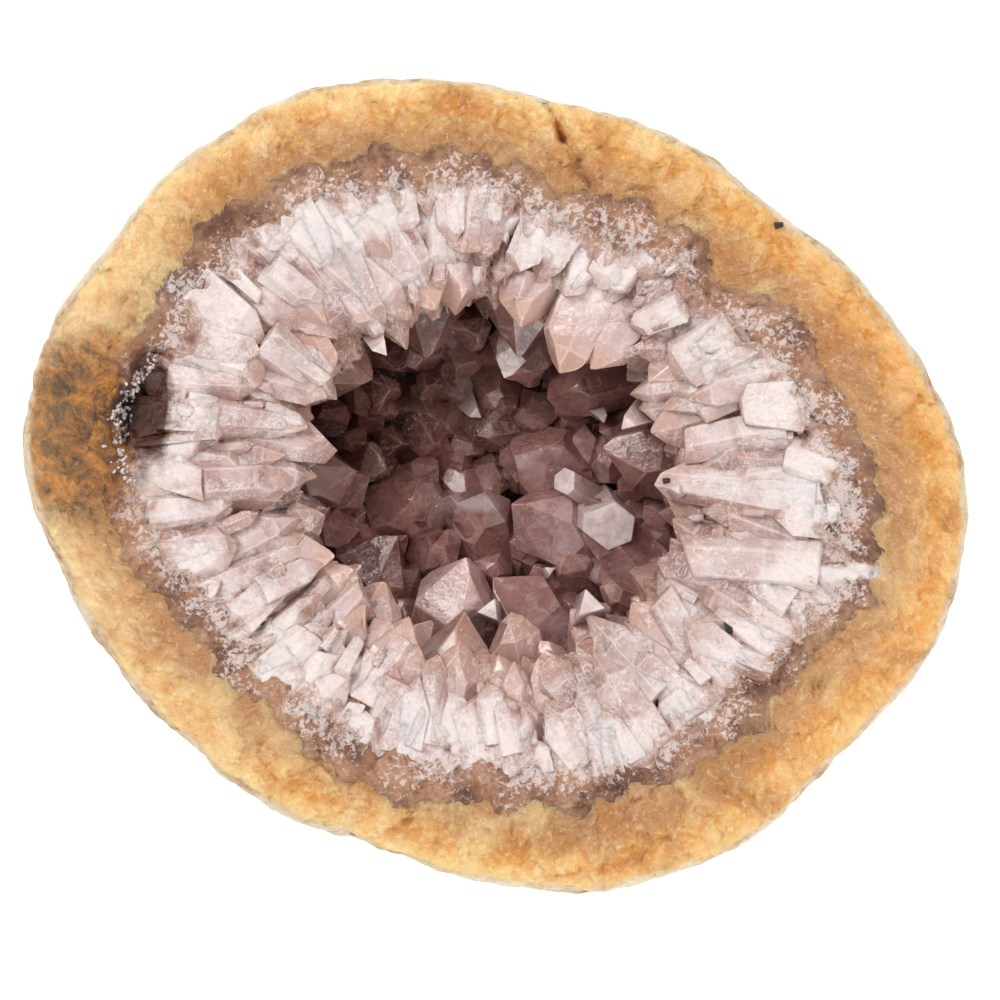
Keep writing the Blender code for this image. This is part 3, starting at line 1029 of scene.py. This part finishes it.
def quartz_material(colours):
    """Clear quartz: frosted at the root, pink in the middle, tan at the tip, and mauve down in the hollow,
    darker with depth and on the upper-left wall partly as painted shade, with painted glints and painted
    highlights on the worn edges.
    """
    made, nodes, shader, place = new_material("clear_quartz")
    grown = nodes.attribute("grown")
    tone = nodes.attribute("tone")
    facet = nodes.attribute("facet")
    where = nodes.split(place)
    veils = nodes.noise(place, 380.0, 5.0, 0.65, 1.4)
    flaws = nodes.group("Facets", Vector=place, Scale=430.0, Slope=0.16)
    rise = nodes.total((grown, 1.0), (veils, 0.7), (flaws["Tone"], 0.2))
    body = nodes.wash(colours.frost, rise, 0.65, 1.05, 1.0, colours.quartz)
    body = nodes.wash(body, rise, 1.10, 1.50, 0.75, colours.tip)
    body = nodes.wash(body, facet, 0.6, 0.0, 0.45, colour(184, 144, 126))
    own = nodes.wash(facet, facet, 1.4, 1.6, 1.0, (0.5, 0.5, 0.5))
    # Value turns the hollow from dark to mauve: random tones, and a painted-shade term that darkens the
    # upper-left wall and lightens the lower-right one.
    value = nodes.total(
        (own, 0.34),
        (tone, 0.45),
        (veils, 1.10),
        (flaws["Tone"], 0.24),
        (where["X"], 11.0),
        (where["Y"], -11.0),
    )
    hollow = nodes.wash(colours.deep, value, 0.55, 1.20, 1.0, colours.mauve)
    hollow = nodes.wash(hollow, value, 1.25, 1.60, 0.6, colour(206, 180, 182))
    streak = spot(nodes, place, (-0.0022, -0.0020, 0.0), (0.28, 1.0, 0.0), 0.0003, 0.0012)
    hollow = nodes.glaze(hollow, streak, 0.6, colour(216, 204, 206))
    # Painted glints: tiny pale cells, gathered in clusters.
    painted_glints = nodes.group("Facets", Vector=place, Scale=5000.0)["Tone"]
    painted_glint_clusters = nodes.span(nodes.noise(place, 240.0, 2.0, 0.5), 0.52, 0.62)
    painted_glints = nodes.math("MULTIPLY", nodes.span(painted_glints, 0.982, 0.985), painted_glint_clusters)
    hollow = nodes.glaze(hollow, painted_glints, 0.75, colour(246, 224, 196))
    # Mauve down in the hollow, darker with depth: partly smoky quartz, partly painted shade.
    depth = nodes.total((where["Z"], 1.0), (tone, 0.0045), (veils, 0.002), (facet, 0.001))
    deep = nodes.span(depth, FACE - 0.001, FACE - 0.0095)
    body = nodes.mix(deep, body, hollow)
    cracks = nodes.group("Crackle", Vector=place, Scale=520.0)["Mask"]
    body = nodes.glaze(body, cracks, nodes.span(deep, 0.0, 1.0, 0.5, 0.16), colour(250, 238, 234))
    # Painted highlight on the worn edges, fainter deep in the hollow.
    painted_edge_highlights = nodes.span(facet, 1.4, 1.6)
    body = nodes.glaze(body, painted_edge_highlights, nodes.span(deep, 0.0, 1.0, 0.22, 0.07), colour(246, 214, 192))
    nodes.feed(shader["Base Color"], body)
    nodes.feed(shader["Roughness"], nodes.span(veils, 0.35, 0.75, 0.05, 0.26))
    set_constants(shader, IOR=1.55, Coat_Weight=0.6, Coat_Roughness=0.04)
    subsurface(shader, 0.50, (1.0, 0.85, 0.8), 0.0007)
    bump(nodes, shader, nodes.total((flaws["Height"], 1.0), (nodes.noise(place, 900.0), 0.00016)))
    return made


def white_crust_and_reflection_material():
    """Pale quartz with a mauve shank: on the facets in the hollow the pale colour is painted reflection, on
    the side cavity's crust it is the crust's own white.
    """
    made, nodes, shader, place = new_material("white_crust_and_painted_reflection")
    clouds = nodes.noise(place, 600.0, 5.0, 0.65, 1.0)
    shade = nodes.wash(colour(206, 184, 184), clouds, 0.35, 0.65, 1.0, colour(236, 218, 214))
    shade = nodes.mix(nodes.attribute("shank"), shade, colour(150, 106, 98))
    nodes.feed(shader["Base Color"], shade)
    nodes.feed(shader["Roughness"], nodes.span(clouds, 0.3, 0.7, 0.08, 0.25))
    set_constants(shader, IOR=1.55)
    subsurface(shader, 0.5, (1.0, 1.0, 1.0), 0.0010)
    bump(nodes, shader, nodes.noise(place, 1200.0), 0.00015)
    return made


def chip_material():
    """Black mineral chips."""
    made, nodes, shader, place = new_material("black_mineral")
    grain = nodes.noise(place, 2200.0, 4.0, 0.7)
    nodes.feed(shader["Base Color"], nodes.mix(grain, colour(14, 13, 14), colour(58, 52, 50)))
    set_constants(shader, Roughness=0.45)
    bump(nodes, shader, grain, 0.0002)
    return made


def floor_material():
    made, nodes, shader, place = new_material("pale_floor")
    shade = nodes.mix(nodes.noise(place, 3.0, 2.0), colour(250, 250, 250), colour(246, 246, 247))
    for socket in ("Base Color", "Emission Color"):
        nodes.feed(shader[socket], shade)
    set_constants(shader, Emission_Strength=0.55, Roughness=0.9)
    return made


# ---------------------------------------------------------------- operators


def settings():
    return bpy.context.scene.geode_shape, bpy.context.scene.geode_colours


def borders():
    """The outline and the wandering borders between the layers on the broken face, from outside in."""
    outline = wall_radii("rind", True)
    rind_inner = wavy_ring(wall_radii("rind", False), 0.0042, 0.0009, 1.0)
    band_inner = wavy_ring(wall_radii("chalcedony_band", False), 0.0028, 0.0010, 4.0)
    return outline, rind_inner, band_inner


class GEODE_OT_rind(bpy.types.Operator):
    """Folds the ochre rind, with its knobbly skin and broken rim"""

    bl_idname = "geode.rind"
    bl_label = "Rind"

    def execute(self, context):
        shape, colours = settings()
        outline, rind_inner, _ = borders()
        bottoms = (STONE_BOTTOM - 0.0015, BAND_BOTTOM)
        rind = Bowl(outline, rind_inner - OVERLAP, bottoms, (92, 22, 8), shape, is_skin=True)
        finish_piece(rind.build(), "stone_rind", rind_material(colours), ("rind",))
        return {"FINISHED"}


class GEODE_OT_band(bpy.types.Operator):
    """Folds the brown chalcedony band inside the rind"""

    bl_idname = "geode.band"
    bl_label = "Chalcedony band"

    def execute(self, context):
        shape, colours = settings()
        _, rind_inner, band_inner = borders()
        bottoms = (BAND_BOTTOM, BASE_BOTTOM)
        band = Bowl(rind_inner, band_inner - OVERLAP, bottoms, (8, 14, 8), shape)
        material = band_material(colours)
        finish_piece(band.build(), "chalcedony", material, ("chalcedony_band",))
        return {"FINISHED"}


class GEODE_OT_quartz_base(bpy.types.Operator):
    """Folds the sugary quartz that the crystals grow from"""

    bl_idname = "geode.quartz_base"
    bl_label = "Quartz base"

    def execute(self, context):
        shape, colours = settings()
        band_inner = borders()[2]
        lip = wavy_ring(0.12 * band_inner + 0.88 * HOLLOW_RADIUS, 0.0040, 0.0012, 6.0)
        base = Bowl(band_inner, lip, (BASE_BOTTOM, BASE_BOTTOM + 0.003), (8, 90, 30), shape)
        columns = quartz_columns(shape, band_inner)
        inward = break_columns(columns, band_inner, shape)
        seam = drape_over_columns(base, columns)
        undercut(base, lip, wall_radii("quartz_base", False))
        material = frost_material(colours)
        finish_piece(base.build(seam=seam), "sugary_base", material, ("quartz_base",))
        # The undersides of the columns get the painted shade of the seams.
        sides = 0.8 * np.clip((0.45 - np.concatenate(columns.above)) / 0.6, 0, 1)
        columns = columns.build(inward=inward, seam=sides)
        finish_piece(columns, "quartz_columns", material)
        return {"FINISHED"}


class GEODE_OT_large_crystals(bpy.types.Operator):
    """Grows one finished crystal for every crystal of the frame"""

    bl_idname = "geode.large_crystals"
    bl_label = "Large crystals"

    def execute(self, context):
        shape, colours = settings()
        band_inner = borders()[2]
        clear = quartz_material(colours)
        for ring, slot in RINGS.items():
            build_large_crystals(ring, clear, shape, band_inner)
        return {"FINISHED"}


class GEODE_OT_druse(bpy.types.Operator):
    """Crowds small crystals between the large ones"""

    bl_idname = "geode.druse"
    bl_label = "Druse"

    def execute(self, context):
        shape, _ = settings()
        for name, slot, slopes, sizes, reach in DRUSES:
            druse = small_crystals(name, shape, slopes, sizes, reach)
            finish_piece(druse, name, bpy.data.materials["clear_quartz"])
        return {"FINISHED"}


def top_at(context, x, y):
    """The highest place of the model so far over a spot."""
    context.view_layer.update()
    depsgraph = context.evaluated_depsgraph_get()
    down = Vector((0, 0, -1))
    return context.scene.ray_cast(depsgraph, Vector((x, y, FACE + 0.02)), down)[1]


# Crystals that end in one facet facing up, painted pale as the light that such facets mirror: (x, y, half
# width, lean to x, lean to y), in metres.
SIX_SIDED = (
    (0.0104, -0.0041, 0.0036, 0.08, -0.16),
    (0.0070, -0.0002, 0.0020, -0.75, 0.45),
)
THREE_SIDED = (
    (0.0087, -0.0122, 0.0034, 0.05, 0.15),
    (-0.0008, -0.0124, 0.0028, -0.10, 0.20),
    (0.0100, 0.0066, 0.0016, 0.30, -0.30),
    (0.0128, 0.0056, 0.0026, -0.30, -0.20),
    (-0.0022, 0.0072, 0.0022, 0.20, -0.35),
    (-0.0112, 0.0130, 0.0020, 0.20, -0.40),
    (0.0170, -0.0006, 0.0013, 0.10, 0.20),
    (0.0050, -0.0086, 0.0012, 0.20, 0.20),
)
# Black chips: (x, y, half width).
CHIPS = ((0.0217, -0.0139, 0.0008), (0.0158, 0.0001, 0.00035), (0.0264, 0.0245, 0.0004))


class GEODE_OT_accents(bpy.types.Operator):
    """Adds the facets in the hollow painted pale as reflections, the crust of the side cavity and the dark
    chips
    """

    bl_idname = "geode.accents"
    bl_label = "Accents"

    def execute(self, context):
        shape, _ = settings()
        pick = random.Random(f"{shape.seed} accents")
        white = white_crust_and_reflection_material()
        # The pale facets and triangles are painted reflections of the lamps.
        for name, sides, table in (("painted_reflection_facets", 6, SIX_SIDED), ("painted_glint_triangles", 3, THREE_SIDED)):
            mirrors = Druse(template_set(pick, 3, edge=0.03, sides=sides, broken=1, tilt=0.05))
            for x, y, radius, lean_x, lean_y in table:
                around = [(x, y), (x + radius, y), (x - radius, y), (x, y + radius), (x, y - radius)]
                top = top_at(context, x, y)
                top.z = max(top_at(context, *spot).z for spot in around)
                way = Vector((lean_x, lean_y, 1)).normalized()
                mirrors.add(pick, top - way * radius * 2.6, way, radius, radius * 3.0)
            shank = np.clip(8 * (0.93 - np.concatenate(mirrors.grown)), 0, 1)
            finish_piece(mirrors.build(shank=shank), name, white)
        flakes = Druse(template_set(pick, 4, broken=2))
        for start, end in zip(CRUST_LINE, CRUST_LINE[1:]):
            for _ in range(64):
                share = pick.random()
                x = start[0] + share * (end[0] - start[0]) + pick.gauss(0, 0.0004)
                y = start[1] + share * (end[1] - start[1]) + pick.gauss(0, 0.0004)
                size = pick.uniform(0.00010, 0.00026)
                way = jitter(pick, 1.0)
                top = top_at(context, x, y) - Vector((0, 0, size))
                flakes.add(pick, top, way, size, size * 2.6)
        chips = Druse(template_set(pick, 2, broken=2))
        for x, y, radius in CHIPS:
            chips.add(pick, top_at(context, x, y), Vector((1, 0.2, 0.1)), radius, radius * 2.2)
        finish_piece(flakes.build(), "white_flakes", white)
        finish_piece(chips.build(), "dark_chips", chip_material())
        return {"FINISHED"}


class GEODE_OT_stage(bpy.types.Operator):
    """Sets out the pale floor, the soft lights and the camera over the face"""

    bl_idname = "geode.stage"
    bl_label = "Stage"

    def execute(self, context):
        start_clean()
        bpy.ops.mesh.primitive_plane_add(size=4.0, location=(0, 0, STONE_BOTTOM - 0.00005))
        floor = bpy.context.object
        bpy.ops.object.transform_apply()
        floor.name = "floor"
        floor.data.materials.append(floor_material())
        world = bpy.data.worlds.new("studio")
        context.scene.world = world
        world.use_nodes = True
        background = world.node_tree.nodes["Background"]
        set_constants(background.inputs, Color=(1.0, 1.0, 1.0, 1.0), Strength=0.36)
        self.add_light("key_light", (-0.55, 0.55, 0.85), 0.65, 9.5)
        self.add_light("fill_light", (0.7, 0.1, 0.6), 0.6, 3.4)
        self.add_light("low_light", (0.1, -0.8, 0.35), 0.6, 3.4)
        self.add_camera(context)
        context.scene.view_settings.view_transform = "Standard"
        return {"FINISHED"}

    def add_light(self, name, place, size, power):
        bpy.ops.object.light_add(type="AREA", location=place)
        lamp = bpy.context.object
        lamp.name = name
        lamp.data.size = size
        lamp.data.energy = power
        lamp.rotation_euler = (Vector((0, 0, FACE)) - Vector(place)).to_track_quat("-Z", "Y").to_euler()

    def add_camera(self, context):
        """A long lens straight over the face, for a view this wide."""
        distance, width = 0.6, 0.0955
        bpy.ops.object.camera_add(location=(0.00015, -0.0017, FACE + distance), rotation=(0, 0, 0))
        camera = bpy.context.object
        camera.data.sensor_width = 36.0
        camera.data.lens = camera.data.sensor_width * distance / width
        camera.data.clip_start = 0.01
        context.scene.camera = camera


class GEODE_PT_panel(bpy.types.Panel):
    """Lists the geode's pieces in the order in which they are made"""

    bl_label = "Geode half"
    bl_space_type = "VIEW_3D"
    bl_region_type = "UI"
    bl_category = "Geode"

    def draw(self, context):
        for operator in OPERATORS:
            self.layout.operator(operator.bl_idname)
        for group in (context.scene.geode_shape, context.scene.geode_colours):
            for key in group.__annotations__:
                self.layout.prop(group, key)


OPERATORS = (
    GEODE_OT_rind,
    GEODE_OT_band,
    GEODE_OT_quartz_base,
    GEODE_OT_large_crystals,
    GEODE_OT_druse,
    GEODE_OT_accents,
    GEODE_OT_stage,
)
CLASSES = (GeodeShape, GeodeColours, *OPERATORS, GEODE_PT_panel)


def register():
    for item in CLASSES:
        bpy.utils.register_class(item)
    bpy.types.Scene.geode_shape = bpy.props.PointerProperty(type=GeodeShape)
    bpy.types.Scene.geode_colours = bpy.props.PointerProperty(type=GeodeColours)


def unregister():
    del bpy.types.Scene.geode_colours
    del bpy.types.Scene.geode_shape
    for item in reversed(CLASSES):
        bpy.utils.unregister_class(item)


def main():
    register()
    bpy.ops.geode.rind()
    bpy.ops.geode.band()
    bpy.ops.geode.quartz_base()
    bpy.ops.geode.large_crystals()
    bpy.ops.geode.druse()
    bpy.ops.geode.accents()
    bpy.ops.geode.stage()


if __name__ == "__main__":
    main()
